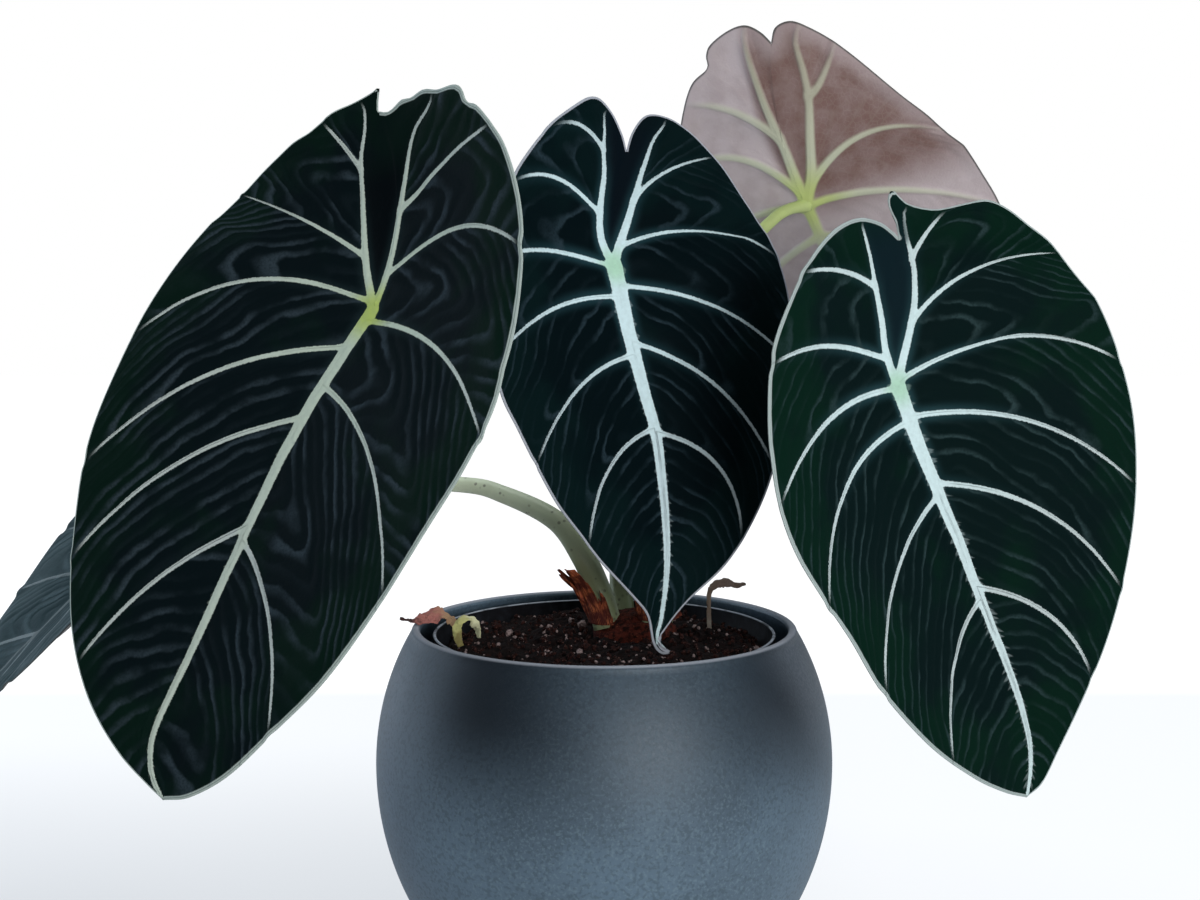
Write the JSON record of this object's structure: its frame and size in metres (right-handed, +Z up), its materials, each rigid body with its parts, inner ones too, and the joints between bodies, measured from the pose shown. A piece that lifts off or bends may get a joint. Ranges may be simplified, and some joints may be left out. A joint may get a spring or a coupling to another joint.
{
  "type": "potted alocasia reginula",
  "caption": "Dark velvet-leaved alocasia with pale veins, growing in a plastic nursery pot that stands in a round slate-blue cover pot.",
  "frame": {"origin": "centre of the cover pot's flat underside", "axes": "+Z up, -Y the front of the plant as pictured, +X to the right"},
  "size_m": [0.4497, 0.2176, 0.3436],
  "materials": {
    "cover_pot": "matt",
    "nursery_pot": "satin",
    "soil": "rough",
    "rhizome": "rough",
    "petiole": "satin",
    "leaf": "velvet",
    "sheath": "rough",
    "dry_leaf": "rough",
    "straw": "rough"
  },
  "bodies": {
    "root": {"cover_pot": "cover_pot", "nursery_pot": "nursery_pot", "soil": "soil", "crown": "rhizome", "petiole_left": "petiole", "petiole_middle": "petiole", "petiole_right": "petiole", "petiole_back": "petiole", "petiole_far_left": "petiole", "blade_left": "leaf", "blade_middle": "leaf", "blade_right": "leaf", "blade_back": "leaf", "blade_far_left": "leaf", "dry_sheath_left": "sheath", "dry_sheath_front": "sheath", "dry_sheath_right": "sheath", "dry_leaf_left": "dry_leaf", "withered_leaf": "dry_leaf", "pale_strip": "straw"}
  },
  "joints": []
}
